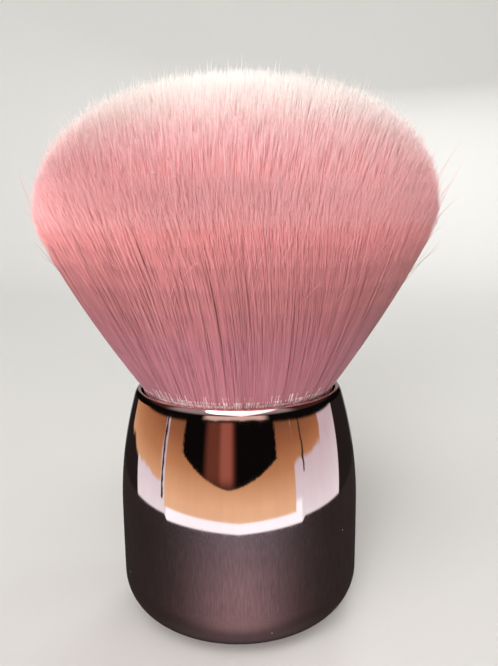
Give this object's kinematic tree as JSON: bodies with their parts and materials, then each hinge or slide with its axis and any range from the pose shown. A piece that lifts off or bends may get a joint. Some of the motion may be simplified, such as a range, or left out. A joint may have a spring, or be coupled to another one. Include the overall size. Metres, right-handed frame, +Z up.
{
  "type": "nail dust brush",
  "caption": "Kabuki-style nail dust brush: short mirror-plated barrel handle with a wide flared, domed head of fine soft bristles.",
  "frame": {"origin": "centre of the flat base that the brush stands on", "axes": "+Z up along the brush's axis, from the base of the handle to the crown of the bristles; the brush is round, so X and Y are free"},
  "size_m": [0.0522, 0.0522, 0.0722],
  "materials": {
    "rose_gold_plating": "mirror-polished rose-gold electroplating over moulded plastic",
    "steel_slug": "turned, unplated",
    "core_plastic": "moulded",
    "ferrule_aluminium": "satin rose-gold anodised",
    "glue": "cured clear adhesive",
    "binding_thread": "twisted thread",
    "bristle": "very fine soft synthetic filament, dusty rose at the root paling to blush white at the tips"
  },
  "bodies": {
    "root": {"handle_shell": "rose_gold_plating", "weight_adhesive": "glue", "base_weight": "steel_slug", "ribbed_core": "core_plastic", "ferrule": "ferrule_aluminium", "ferrule_adhesive": "glue", "root_glue": "glue", "root_binding": "binding_thread", "bristle_head": "bristle"}
  },
  "joints": []
}
